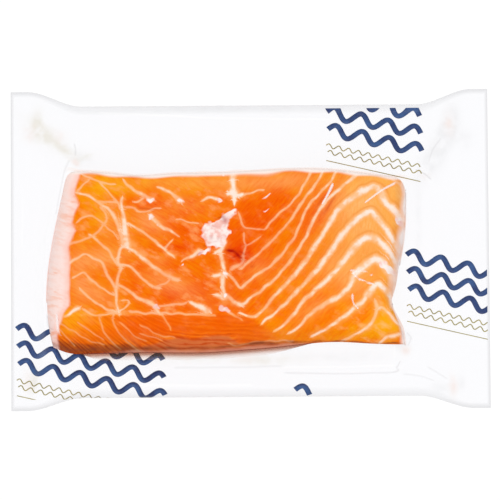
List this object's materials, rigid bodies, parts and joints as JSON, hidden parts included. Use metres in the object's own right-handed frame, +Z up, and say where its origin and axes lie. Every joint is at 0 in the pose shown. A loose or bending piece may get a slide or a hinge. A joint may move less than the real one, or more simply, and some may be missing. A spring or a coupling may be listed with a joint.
{
  "type": "sealed pack of salmon",
  "caption": "Clear sealed pouch holding a raw salmon portion, lying flat, with wide flat ends and film drawn tight over the fish.",
  "frame": {"origin": "middle of the flat underside's plane, below the middle of the pouch", "axes": "+X along the pouch from one sealed end to the other, +Y from the front long edge to the back one, +Z up from the underside to the shown side"},
  "size_m": [0.217, 0.156, 0.027],
  "materials": {
    "salmon_under_film": "gloss",
    "salmon_flesh": "satin",
    "clear_film": "gloss",
    "printed_ink": "gloss",
    "fish_juice": "gloss"
  },
  "bodies": {
    "root": {"sealed_pack": "salmon_under_film"}
  },
  "joints": []
}
